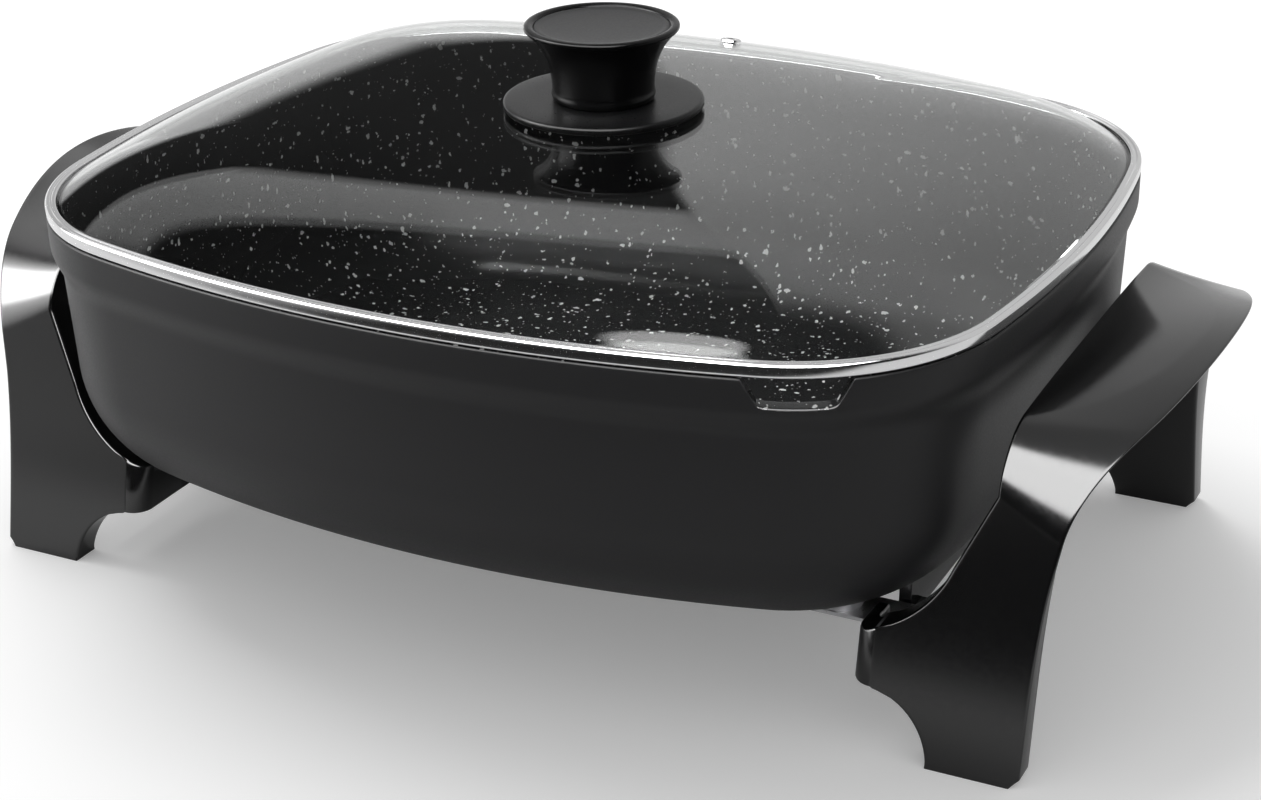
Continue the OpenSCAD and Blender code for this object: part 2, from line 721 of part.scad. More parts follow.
// Vent eyelet on the shoulder of the dome, towards the back.
vent_share = 0.717;
vent_angle = 90;
vent_foot = polar(side_centre, side_bow_radius - band_lip, vent_angle) * vent_share;
vent_normal = [cos(vent_angle), sin(vent_angle)];
vent_run = (vent_foot * vent_normal) / vent_share;
vent_tilt = atan(dome_rise * dome_power * pow(vent_share, dome_power - 1) / vent_run);
vent_bore = 1.6;
vent_tube = 2.8;
vent_lip = 1.2;
module at_vent() {
    translate([vent_foot[0], vent_foot[1], dome_z(vent_share)])
        rotate([0, 0, vent_angle])
            rotate([0, vent_tilt, 0])
                children();
}
module lid_glass() {
    color([0.8, 0.84, 0.85, 0.35])
        as_one_mesh()
            difference() {
                skin(glass_rings, true);
                at_vent()
                    translate([0, 0, -3 * glass_thickness])
                        cylinder(r = vent_tube + 2 * gap, h = 6 * glass_thickness, $fn = 32);
            }
}
module lid_rim() {
    color([0.8, 0.8, 0.81])
        skin([for (p = band_profile) ring_at(p[0], p[1])], true);
}
module vent_grommet() {
    rise = 0.4;
    color([0.7, 0.7, 0.71])
        at_vent()
            rotate_extrude()
                polygon([[vent_bore, -glass_thickness - rise - vent_lip],
                    [vent_radius - 0.6, -glass_thickness - rise - vent_lip],
                    [vent_radius - 0.6, -glass_thickness - rise], [vent_tube, -glass_thickness - rise],
                    [vent_tube, rise], [vent_radius, rise], [vent_radius - 0.3, rise + 0.8],
                    [vent_radius - 1.2, rise + vent_lip], [vent_bore, rise + vent_lip]]);
}

// Knob stack, from the glass upwards.
gasket_height = 1;
skirt_low = dome_top + fit_gap + gasket_height;
skirt_high = skirt_low + skirt_thickness;
knob_low = skirt_high + fit_gap;
knob_high = knob_low + knob_height;
knob_screw_radius = 2.5;
insert_radius = 4.5;
insert_height = 16;
cap_radius = knob_radius - 4;
cap_depth = 1.6;
washer_height = 1.2;
washer_high = dome_top - glass_thickness - gap;
screw_top = knob_low + insert_height - 3;

module knob_gasket() {
    color([0.05, 0.05, 0.05])
        difference() {
            translate([0, 0, dome_top + fit_gap])
                cylinder(r = 0.7 * skirt_radius, h = gasket_height - fit_gap);
            translate([0, 0, dome_top - cut])
                cylinder(r = knob_screw_radius + 2 * gap, h = gasket_height + 2 * cut);
        }
}
module knob_skirt() {
    h = skirt_thickness;
    color([0.09, 0.09, 0.092])
        translate([0, 0, skirt_low])
            rotate_extrude()
                polygon([[knob_screw_radius + 2 * gap, 0], [skirt_radius - 0.8, 0], [skirt_radius, 0.25 * h],
                    [skirt_radius, 0.7 * h], [skirt_radius - 0.4, 0.9 * h], [skirt_radius - 1.2, h],
                    [knob_screw_radius + 2 * gap, h]]);
}
knob_profile = [[1, 0.035], [1.02, 0.07], [1, 0.16], [1.025, 0.33], [1.095, 0.53], [1.23, 0.72]];
module knob() {
    h = knob_height;
    r = knob_radius;
    color([0.04, 0.04, 0.042])
        translate([0, 0, knob_low])
            rotate_extrude()
                polygon(concat([[insert_radius + fit_gap, 0], [neck_radius - 0.5, 0]],
                    [for (p = knob_profile) [neck_radius * p[0], h * p[1]]],
                    [[r - 2.2, h - 3.9], [r - 0.6, h - 2.6], [r, h - 1.6], [r - 0.4, h - 0.5], [r - 1.6, h],
                        [r - 3.2, h - 0.4], [cap_radius + gap, h - 0.9],
                        [cap_radius + gap, h - cap_depth - 1], [0, h - cap_depth - 1],
                        [0, insert_height + 0.5], [insert_radius + fit_gap, insert_height + 0.5]]));
}
module knob_cap() {
    color([0.1, 0.1, 0.102])
        translate([0, 0, knob_high - cap_depth - 1 + fit_gap])
            rotate_extrude()
                polygon([[0, 0], [cap_radius, 0], [cap_radius, cap_depth - 0.1],
                    [0.85 * cap_radius, cap_depth - 0.5], [0.5 * cap_radius, cap_depth - 0.9],
                    [0, cap_depth - 1]]);
}
module knob_insert() {
    color([0.78, 0.63, 0.3])
        translate([0, 0, knob_low])
            difference() {
                cylinder(r = insert_radius, h = insert_height);
                translate([0, 0, -cut])
                    cylinder(r = knob_screw_radius + fit_gap, h = insert_height + 2 * cut);
            }
}
module knob_washer() {
    color([0.6, 0.6, 0.61])
        translate([0, 0, washer_high - washer_height])
            difference() {
                cylinder(r = 2.2 * insert_radius, h = washer_height);
                translate([0, 0, -cut])
                    cylinder(r = knob_screw_radius + 2 * gap, h = washer_height + 2 * cut);
            }
}
module knob_screw() {
    head = 3.2;
    low = washer_high - washer_height - fit_gap;
    color([0.55, 0.55, 0.56])
        difference() {
            union() {
                translate([0, 0, low - head])
                    cylinder(r = 2 * knob_screw_radius, h = head);
                translate([0, 0, low - cut])
                    cylinder(r = knob_screw_radius, h = screw_top - low + cut);
            }
            translate([-3 * knob_screw_radius, -0.6, low - head - cut])
                cube([6 * knob_screw_radius, 1.2, cut + 1.4]);
        }
}

pan();
heater_casting();
heating_element();
terminal_pins();
terminal_insulators();
terminal_guard();
guard_screws();
sensor_well();
support_posts();
support_bracket_left();
support_bracket_right();
bracket_screws();
handle_frame_left();
handle_frame_right();
frame_washers();
frame_screws();
frame_nuts();
lid_glass();
lid_rim();
vent_grommet();
knob_skirt();
knob();
knob_cap();
knob_insert();
knob_screw();
knob_washer();
knob_gasket();
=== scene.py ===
import math

import bmesh
import bpy
import numpy as np
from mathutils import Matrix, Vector


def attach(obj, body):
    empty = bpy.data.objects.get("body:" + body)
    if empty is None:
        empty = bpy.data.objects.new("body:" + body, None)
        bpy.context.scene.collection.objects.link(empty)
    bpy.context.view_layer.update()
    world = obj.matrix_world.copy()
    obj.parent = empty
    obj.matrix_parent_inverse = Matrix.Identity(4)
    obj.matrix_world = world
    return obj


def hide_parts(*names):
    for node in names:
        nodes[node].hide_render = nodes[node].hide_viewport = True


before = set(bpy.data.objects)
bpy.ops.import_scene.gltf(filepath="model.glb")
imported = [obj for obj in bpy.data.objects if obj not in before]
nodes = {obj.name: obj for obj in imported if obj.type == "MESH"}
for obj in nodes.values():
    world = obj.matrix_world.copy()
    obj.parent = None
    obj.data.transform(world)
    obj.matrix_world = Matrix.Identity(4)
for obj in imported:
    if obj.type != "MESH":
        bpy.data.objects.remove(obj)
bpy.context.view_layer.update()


# ---------------------------------------------------------------------------
# Pan. A deep cast aluminium pan, spray-coated charcoal outside and with a
# speckled stone-look non-stick inside. Its rim is a thicker collar, cut by a
# pour notch at the front right corner.
# ---------------------------------------------------------------------------

RIM_HALF_LENGTH, RIM_HALF_WIDTH = 203.0, 172.2
END_BOW, SIDE_BOW, CORNER_BOW = 595.0, 538.0, 84.5
CORNER_CENTRE = (113.204, 73.344)
END_ANGLE, SIDE_ANGLE = 8.261, 75.454


def rim_plan(facing, inset):
    """Plan of the rim, moved inwards. The edge is bowed ends, bowed sides and four corner arcs, all
    tangent, so each direction that the edge faces has one point: arc centre plus (radius - inset)
    times that direction. Facing is in degrees."""
    c, s = np.cos(np.radians(facing)), np.sin(np.radians(facing))
    turn = np.degrees(np.arctan2(np.abs(s), np.abs(c)))
    end, side = turn < END_ANGLE, turn > SIDE_ANGLE
    cx = np.where(end, RIM_HALF_LENGTH - END_BOW, np.where(side, 0.0, CORNER_CENTRE[0]))
    cy = np.where(end, 0.0, np.where(side, RIM_HALF_WIDTH - SIDE_BOW, CORNER_CENTRE[1]))
    radius = np.where(end, END_BOW, np.where(side, SIDE_BOW, CORNER_BOW))
    x = np.sign(c) * (cx + (radius - inset) * np.abs(c))
    y = np.sign(s) * (cy + (radius - inset) * np.abs(s))
    return x, y


def rim_facings(end_steps, corner_steps, side_steps):
    """Directions round the whole rim, in degrees, evenly spaced along each kind of arc."""
    quarter = np.concatenate([
        np.linspace(0, END_ANGLE, end_steps, endpoint=False),
        np.linspace(END_ANGLE, SIDE_ANGLE, corner_steps, endpoint=False),
        np.linspace(SIDE_ANGLE, 90, side_steps, endpoint=False)])
    half = np.concatenate([quarter, [90.0], 180 - quarter[:0:-1]])
    return np.concatenate([half, half + 180])


def surface(name, grid, body, made, along=False, ends=False, smooth=True):
    """Mesh of a grid of points in mm: rows follow each other along the piece, columns run round it
    and close. Along joins the last row to the first; ends closes the first and last row with a face
    each. Rows that shrink to a point are welded."""
    rows, cols = grid.shape[:2]
    index = np.arange(rows * cols).reshape(rows, cols)
    right = np.roll(index, -1, 1)
    low, high = (index, np.roll(index, -1, 0)) if along else (index[:-1], index[1:])
    low_r, high_r = (right, np.roll(right, -1, 0)) if along else (right[:-1], right[1:])
    quads = np.stack([low, low_r, high_r, high], -1).reshape(-1, 4)
    mesh = bpy.data.meshes.new(name)
    mesh.vertices.add(rows * cols)
    mesh.vertices.foreach_set("co", (grid.reshape(-1, 3) * 0.001).astype(np.float32).ravel())
    mesh.loops.add(quads.size)
    mesh.loops.foreach_set("vertex_index", quads.ravel().astype(np.int32))
    mesh.polygons.add(len(quads))
    mesh.polygons.foreach_set("loop_start", np.arange(0, quads.size, 4, dtype=np.int32))
    mesh.polygons.foreach_set("loop_total", np.full(len(quads), 4, np.int32))
    mesh.update(calc_edges=True)
    bm = bmesh.new()
    bm.from_mesh(mesh)
    if ends:
        bm.verts.ensure_lookup_table()
        bm.faces.new([bm.verts[i] for i in index[0][::-1]])
        bm.faces.new([bm.verts[i] for i in index[-1]])
    bmesh.ops.remove_doubles(bm, verts=bm.verts, dist=1e-7)
    bmesh.ops.recalc_face_normals(bm, faces=bm.faces)
    bm.to_mesh(mesh)
    bm.free()
    mesh.polygons.foreach_set("use_smooth", np.full(len(mesh.polygons), smooth))
    piece = bpy.data.objects.new(name, mesh)
    bpy.context.scene.collection.objects.link(piece)
    mesh.materials.append(made)
    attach(piece, body)
    return piece


def material(name, colour, roughness, metallic=0.0, **sockets):
    """A Principled material. Sockets names more of the shader's own inputs, with _ for a space."""
    made = bpy.data.materials.new(name)
    made.use_nodes = True
    shader = made.node_tree.nodes["Principled BSDF"]
    shader.inputs["Base Color"].default_value = (*colour, 1)
    shader.inputs["Roughness"].default_value = roughness
    shader.inputs["Metallic"].default_value = metallic
    for key, value in sockets.items():
        shader.inputs[key.replace("_", " ")].default_value = value
    return made


def node(made, kind, **values):
    """Adds a shader node; values set its properties, or its inputs by name."""
    added = made.node_tree.nodes.new(kind)
    for key, value in values.items():
        if hasattr(added, key):
            setattr(added, key, value)
        else:
            added.inputs[key.replace("_", " ")].default_value = value
    return added


def wire(made, out, into):
    """Links one node's output to another's input."""
    made.node_tree.links.new(out, into)


def math_node(made, operation, a, b=None):
    """One step of arithmetic in a material, on numbers or on other nodes' outputs."""
    step = node(made, "ShaderNodeMath", operation=operation)
    for socket, value in zip(step.inputs, (a, b)):
        if isinstance(value, bpy.types.NodeSocket):
            wire(made, value, socket)
        elif value is not None:
            socket.default_value = value
    return step.outputs[0]


def grainy(made, size, roughness_span, bump, distance=0.0001):
    """Fine grain of a finish: noise of the given size in mm varies the roughness between two values
    and raises a bump of the given strength."""
    shader = made.node_tree.nodes["Principled BSDF"]
    place = node(made, "ShaderNodeTexCoord")
    noise = node(made, "ShaderNodeTexNoise", Scale=1000 / size, Detail=3.0)
    wire(made, place.outputs["Object"], noise.inputs["Vector"])
    spread = node(made, "ShaderNodeMapRange", From_Min=0.3, From_Max=0.7,
                  To_Min=roughness_span[0], To_Max=roughness_span[1])
    wire(made, noise.outputs["Fac"], spread.inputs["Value"])
    wire(made, spread.outputs["Result"], shader.inputs["Roughness"])
    raised = node(made, "ShaderNodeBump", Strength=bump, Distance=distance)
    wire(made, noise.outputs["Fac"], raised.inputs["Height"])
    wire(made, raised.outputs["Normal"], shader.inputs["Normal"])
    return made


charcoal = grainy(material("charcoal_coat", (0.0085, 0.0085, 0.009), 0.44, Specular_IOR_Level=0.24),
                  0.7, (0.4, 0.48), 0.08)


def speckled_coat():
    """Stone-look coating: a near black ground with white and grey flecks. A fleck is where the
    distance to a Voronoi point is under that cell's own random size; most cells have none. Each
    layer has its turn, stretch, cells per metre, share of empty cells, largest size and tone."""
    ground, fleck, dimmest = (0.016, 0.016, 0.0165), (0.95, 0.95, 0.94), 0.65
    made = grainy(material("speckled_coat", ground, 0.2, Specular_IOR_Level=0.4), 1.1, (0.17, 0.22), 0.06)
    shader = made.node_tree.nodes["Principled BSDF"]
    place = node(made, "ShaderNodeTexCoord")
    bend = node(made, "ShaderNodeTexNoise", Scale=700.0, Detail=1.0)
    wire(made, place.outputs["Object"], bend.inputs["Vector"])
    shift = node(made, "ShaderNodeVectorMath", operation="SCALE", Scale=0.0016)
    wire(made, bend.outputs["Color"], shift.inputs[0])
    moved = node(made, "ShaderNodeVectorMath", operation="ADD")
    wire(made, place.outputs["Object"], moved.inputs[0])
    wire(made, shift.outputs["Vector"], moved.inputs[1])
    flecks = None
    for spin, stretch, scale, rare, size, tone in (
            ((0, 0, 0), (1, 1, 1), 270.0, 0.6, 0.23, 1.0),
            ((0.5, 0.3, 0.7), (1, 0.55, 1), 255.0, 0.55, 0.23, 1.0),
            ((0.2, 0.9, 2.1), (0.55, 1, 1), 240.0, 0.55, 0.23, 1.0),
            ((2.4, 0.4, 1.4), (1, 1, 0.5), 250.0, 0.55, 0.22, 1.0),
            ((1.2, 0.1, 0.4), (1, 1, 1), 520.0, 0.55, 0.25, 0.45)):
        turned = node(made, "ShaderNodeMapping", Rotation=spin, Scale=stretch)
        wire(made, moved.outputs["Vector"], turned.inputs["Vector"])
        cells = node(made, "ShaderNodeTexVoronoi", Scale=scale)
        wire(made, turned.outputs["Vector"], cells.inputs["Vector"])
        chance = node(made, "ShaderNodeSeparateColor")
        wire(made, cells.outputs["Color"], chance.inputs["Color"])
        reach = node(made, "ShaderNodeMapRange", From_Min=rare, From_Max=1.0, To_Min=0.0, To_Max=size)
        wire(made, chance.outputs[0], reach.inputs["Value"])
        inside = math_node(made, "SUBTRACT", reach.outputs["Result"], cells.outputs["Distance"])
        bright = node(made, "ShaderNodeMapRange", To_Min=dimmest * tone, To_Max=tone)
        wire(made, chance.outputs[1], bright.inputs["Value"])
        spot = math_node(made, "GREATER_THAN", inside, 0.0)
        mask = math_node(made, "MULTIPLY", spot, bright.outputs["Result"])
        flecks = mask if flecks is None else math_node(made, "MAXIMUM", flecks, mask)
    mixed = node(made, "ShaderNodeMix", data_type="RGBA")
    wire(made, flecks, mixed.inputs["Factor"])
    mixed.inputs[6].default_value = (*ground, 1)
    mixed.inputs[7].default_value = (*fleck, 1)
    wire(made, mixed.outputs[2], shader.inputs["Base Color"])
    return made


speckled = speckled_coat()

RIM_TOP, UNDERSIDE, FLOOR_TOP = 156.3, 45.1, 50.1
RIM_ROUND, BOTTOM_ROUND, FLOOR_ROUND, ROUND_TOP = 0.9, 50, 45, 95.1
COLLAR_STEP, COLLAR_LOW, STEP_LOW, STEP_TALL = 3.7, 145.2, 131.8, 13.4
NOTCH_FACING, NOTCH_SPAN, NOTCH_HALF, SILL_HALF, SILL_TOP = -65.0, 15.0, 19.0, 13.5, 146.3


def quarter_turn(centre, radius, start, stop, count):
    """Points on an arc in a profile: centre plus radius times cosine and sine of the angle."""
    a = np.radians(np.linspace(start, stop, count))
    return np.stack([centre[0] + radius * np.cos(a), centre[1] + radius * np.sin(a)], 1)


def line(a, b, count):
    """Evenly spaced points from a to b, both kept."""
    return np.linspace(a, b, count)


def pan_profile():
    """Wall section as (inset, height), from the underside over the collar and rim to the floor. Two
    quarter arcs round wall into floor, and a cosine step carries the collar out."""
    t = np.linspace(0, 1, 15)[1:-1]
    step = np.stack([COLLAR_STEP * (0.5 + 0.5 * np.cos(np.pi * t)), STEP_LOW + STEP_TALL * t], 1)
    outside = np.concatenate([
        line((80, UNDERSIDE), (56, UNDERSIDE), 5),
        quarter_turn((55, ROUND_TOP), BOTTOM_ROUND, 270, 180, 26),
        line((4.85, 99.6), (COLLAR_STEP, STEP_LOW), 9), step,
        line((0, COLLAR_LOW), (0, 155.3), 5)[:-1],
        quarter_turn((RIM_ROUND, RIM_TOP - RIM_ROUND), RIM_ROUND, 180, 90, 5)])
    inside = np.concatenate([
        line((2.5, RIM_TOP), (4.6, RIM_TOP), 3),
        quarter_turn((5.9, RIM_TOP - RIM_ROUND), RIM_ROUND, 90, 0, 5),
        line((6.85, 153), (8.3, ROUND_TOP), 12)[:-1],
        quarter_turn((53.3, ROUND_TOP), FLOOR_ROUND, 180, 270, 26),
        line((56, FLOOR_TOP), (80, FLOOR_TOP), 5)])
    return outside, inside


def notch_line(across):
    """Height that the rim is cut down to, by distance across the notch: a flat sill, steep flanks
    and a small radius at each foot, which comes from a soft maximum of flank and sill."""
    flank_rise, foot_round, foot_drop = 10, 2.2, 0.25
    flank = SILL_TOP + (np.abs(across) - SILL_HALF) * flank_rise / (NOTCH_HALF - SILL_HALF)
    soft = 0.5 * (flank + SILL_TOP + np.sqrt((flank - SILL_TOP) ** 2 + foot_round ** 2)) - foot_drop
    return np.minimum(RIM_TOP, soft)


def face_vectors(piece, kind):
    """One vector for each face of a piece: its center or its normal."""
    values = np.zeros(len(piece.data.polygons) * 3, np.float32)
    piece.data.polygons.foreach_get(kind, values)
    return values.reshape(-1, 3)


def build_pan():
    """Sweeps the wall section round the plan. Over the notch, heights above a line just under the
    sill are squeezed to reach the cut, and the small round at the top edge is kept whole. The flat
    middle is the last ring shrunk to a point. Faces that look inwards or lie on the floor are
    coated."""
    facings = rim_facings(22, 34, 34)
    fine = np.arange(-NOTCH_SPAN, NOTCH_SPAN + 0.01, 0.27) + NOTCH_FACING + 360
    facings = facings[np.abs(facings - NOTCH_FACING - 360) > NOTCH_SPAN + 0.1]
    facings = np.sort(np.concatenate([facings, fine]))
    outside, inside = pan_profile()
    profile = np.concatenate([outside, inside])
    x, y = rim_plan(facings[None, :], profile[:, :1])
    z = np.broadcast_to(profile[:, 1:], x.shape).copy()
    a = math.radians(NOTCH_FACING)
    place = rim_plan(np.array([NOTCH_FACING]), 0.0)
    along, across = math.cos(a), math.sin(a)
    out = (x - place[0]) * along + (y - place[1]) * across
    side = -(x - place[0]) * across + (y - place[1]) * along
    near_corner, base = -40, COLLAR_LOW + 0.05
    cut = np.where(out > near_corner, notch_line(side), RIM_TOP)
    squeeze = base + (z - base) * (cut - RIM_ROUND - base) / (RIM_TOP - RIM_ROUND - base)
    z = np.where(z > RIM_TOP - RIM_ROUND, z - (RIM_TOP - cut), np.where(z > base, squeeze, z))
    grid = np.stack([x, y, z], -1)
    shrink = np.array([0.85, 0.65, 0.4, 0.15, 0.0])[:, None, None]
    first, last = grid[0] * [1, 1, 0], grid[-1] * [1, 1, 0]
    below = first * shrink[::-1] + [0, 0, UNDERSIDE]
    above = last * shrink + [0, 0, FLOOR_TOP]
    piece = surface("pan_shell", np.concatenate([below, grid, above]), "base", charcoal)
    piece.data.materials.append(speckled)
    centres, normals = face_vectors(piece, "center") * 1000, face_vectors(piece, "normal")
    outwards = (normals[:, :2] * centres[:, :2]).sum(1)
    coated = (normals[:, 2] > 0.5) & (centres[:, 2] > 60) & (centres[:, 2] < RIM_TOP - 2)
    coated |= (outwards < 0) & (centres[:, 2] > FLOOR_TOP - 0.2)
    coated |= (normals[:, 2] > 0.95) & (centres[:, 2] > FLOOR_TOP - 0.5)
    piece.data.polygons.foreach_set("material_index", coated.astype(np.int32))
    return piece


pan_shell = build_pan()
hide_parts("pan")


# ---------------------------------------------------------------------------
# Heater and plug inlet. A tubular element cast into a raised rib under the
# floor, with two pins in ceramic collars and a probe tube behind a black box
# that is open to the left end.
# ---------------------------------------------------------------------------

def finish_node(name, made):
    """Gives a CAD node its material."""
    nodes[name].data.materials.clear()
    nodes[name].data.materials.append(made)


cast_aluminium = grainy(material("cast_aluminium", (0.42, 0.42, 0.43), 0.5, 1.0),
                        1.4, (0.42, 0.6), 0.35, 0.0003)
zinc_steel = grainy(material("zinc_steel", (0.55, 0.55, 0.56), 0.35, 1.0), 0.9, (0.26, 0.42), 0.1)
moulded_black = grainy(material("moulded_black", (0.012, 0.012, 0.0125), 0.28), 1.6, (0.24, 0.3), 0.05)
steatite = grainy(material("steatite", (0.78, 0.76, 0.7), 0.55), 0.5, (0.5, 0.62), 0.2)
element_sheath = grainy(material("element_sheath", (0.3, 0.3, 0.31), 0.45, 1.0), 1.0, (0.38, 0.5), 0.1)
nickel_pin = grainy(material("nickel_pin", (0.66, 0.65, 0.62), 0.2, 1.0), 0.6, (0.16, 0.26), 0.04)

finish_node("heater_casting", cast_aluminium)
finish_node("heating_element", element_sheath)
finish_node("terminal_pins", nickel_pin)
finish_node("terminal_insulators", steatite)
finish_node("sensor_well", zinc_steel)
finish_node("terminal_guard", moulded_black)
finish_node("guard_screws", zinc_steel)


# ---------------------------------------------------------------------------
# Supports. Cast posts under the pan carry two zinc-plated steel strips, which
# are screwed to the handle frames.
# ---------------------------------------------------------------------------

finish_node("support_posts", cast_aluminium)
for part in ("support_bracket_left", "support_bracket_right", "bracket_screws", "frame_washers",
             "frame_screws", "frame_nuts"):
    finish_node(part, zinc_steel)


# ---------------------------------------------------------------------------
# Handle frames. Each is one moulding of glossy heat-resistant black plastic:
# a crowned handle that rounds down into two legs, and a cross wall between the
# legs under the pan. The handle has a shallow thumb scoop.
# ---------------------------------------------------------------------------

HANDLE_HEIGHT, HANDLE_RISE, PLATE_X, LIP_X, LIP_RADIUS = 128.4, 0.139, 204.5, 261.3, 193.0
CROWN_INNER, CROWN_OUTER, BEND_INNER, BEND_OUTER, LEAST_BEND = 770, 171, 28, 66.3, 4
FOOT_Y, LEG_LEAN, LEG_THICK, PLATE_THICK = 125.3, 0.224, 12.0, 8.0
FOOT_OUT, ARM_X, ARM_LOW, ARM_HIGH, STRAP_X = 224.7, 157.0, 25.3, 44.5, 165.0
SCOOP, SCOOP_TOP = (148.5, 89.7, 45.5), 74.1
ARCH = (161.9, -2.0, 27.3)
LEG_FLARE, FLARE_TOP, FLARE_POWER, TOE_CHAMFER, BACK_INSET = 13.3, 118, 3.35, 3.5, 5
THUMB_X, THUMB_REACH, THUMB_SLOPE = 160.7, 89.5, 0.06
EDGE_ROUND, SEAM = 1.3, 0.06
LEAN = math.atan(LEG_LEAN)


def leg_plane(z):
    """How far out the leaning outer plane of a leg stands at a height."""
    return FOOT_Y - LEG_LEAN * z


def leg_outer(z):
    """Outer edge of a leg: foot, plus a power curve that flares upwards, less the chamfer at the
    toe."""
    return FOOT_OUT + LEG_FLARE * (z / FLARE_TOP) ** FLARE_POWER - np.maximum(0, TOE_CHAMFER - z)


def leg_inner(z):
    """Inner edge of a leg: arch circle under the arm, scoop circle over it, never further in than
    the arm's root."""
    arch = ARCH[0] + np.sqrt(np.maximum(0, ARCH[2] ** 2 - (z - ARCH[1]) ** 2))
    scoop = SCOOP[0] + np.sqrt(np.maximum(0, SCOOP[2] ** 2 - (SCOOP[1] - z) ** 2))
    return np.maximum(STRAP_X, np.where(z <= ARM_LOW, arch, scoop))


def section(x, t, under):
    """Point of the handle's cross section at x, for the top or the underside. The crown is a circle
    about the middle plane, whose curvature grows outwards. The bend is a circle that touches the
    crown from inside and the leaning leg line; its centre solves a quadratic. T runs 0 to 1 along
    the crown and 1 to 2 round the bend."""
    share = (x - PLATE_X) / (LIP_X - PLATE_X)
    crown = 1 / (1 / CROWN_INNER + (1 / CROWN_OUTER - 1 / CROWN_INNER) * share)
    base = HANDLE_HEIGHT + HANDLE_RISE * (x - PLATE_X) - crown
    turn = BEND_INNER + (BEND_OUTER - BEND_INNER) * share
    if under:
        crown, turn = crown - PLATE_THICK, np.maximum(LEAST_BEND, turn - PLATE_THICK)
    slope = 1 + LEG_LEAN ** 2
    foot = FOOT_Y - LEG_THICK * under - turn * math.sqrt(slope)
    b = foot * LEG_LEAN + base
    z = (b + np.sqrt(b * b - slope * (foot ** 2 + base ** 2 - (crown - turn) ** 2))) / slope
    y = foot - LEG_LEAN * z
    join = np.arctan2(z - base, y)
    a = np.where(t < 1, np.pi / 2 + (join - np.pi / 2) * t, join + (LEAN - join) * (t - 1))
    return np.where(t < 1, crown * np.cos(a), y + turn * np.cos(a)), \
        np.where(t < 1, base + crown * np.sin(a), z + turn * np.sin(a))


def strap_faces(columns):
    """Outer and inner faces of the strap that is leg, bend and half the handle, as two grids. Legs
    are level lines on a leaning plane, then lines that swing from level to the slanting start of
    the bend. The outer edge of the handle is a circle in plan, found by repeating its equation. The
    top is lowered by a shallow cone for the thumb."""
    share = np.linspace(0, 1, columns)[None, :]
    heights = np.concatenate([[0, 1.2, 2.4, 3.5], np.linspace(5, 24.5, 13), np.linspace(25, 48, 26),
                              np.linspace(49.5, SCOOP_TOP, 18)])[:, None]
    inner, outer = leg_inner(heights), leg_outer(heights)
    back = outer - BACK_INSET * (heights / FLARE_TOP) ** 2
    level = np.ones_like(share)
    leg = np.stack([inner + (outer - inner) * share, leg_plane(heights) * level, heights * level], -1)
    leg_back = np.stack([inner + (back - inner) * share, (leg_plane(heights) - LEG_THICK) * level,
                         heights * level], -1)
    t = np.concatenate([np.linspace(2, 1, 40), np.linspace(1, 0, 70)[1:]])[:, None]
    edge = np.full(t.shape, LIP_X)
    for _ in range(14):
        edge = LIP_X - LIP_RADIUS + np.sqrt(LIP_RADIUS ** 2 - section(edge, t, False)[0] ** 2)
    x = PLATE_X + (edge - PLATE_X) * share
    y, z = section(x, t, False)
    drop = THUMB_SLOPE * np.maximum(0, THUMB_REACH - np.hypot(x - THUMB_X, y))
    arch = np.stack([x, y, z - drop], -1)
    x = PLATE_X + (edge - BACK_INSET - PLATE_X) * share
    arch_back = np.stack([x, *section(x, t, True)], -1)
    swing = np.linspace(0, 1, 20)[1:-1, None, None]

    def joined(lower, upper):
        """Rows of the leg, rows that swing over, and rows of the handle."""
        return np.concatenate([lower, lower[-1:] + (upper[:1] - lower[-1:]) * swing, upper])

    return joined(leg, arch), joined(leg_back, arch_back)


def eased(start, corner, stop, count=5):
    """A rounded corner: the quadratic curve from start to stop that is drawn towards the corner."""
    t = np.linspace(0, 1, count)[None, 1:-1, None]
    return start * (1 - t) ** 2 + 2 * corner * t * (1 - t) + stop * t ** 2


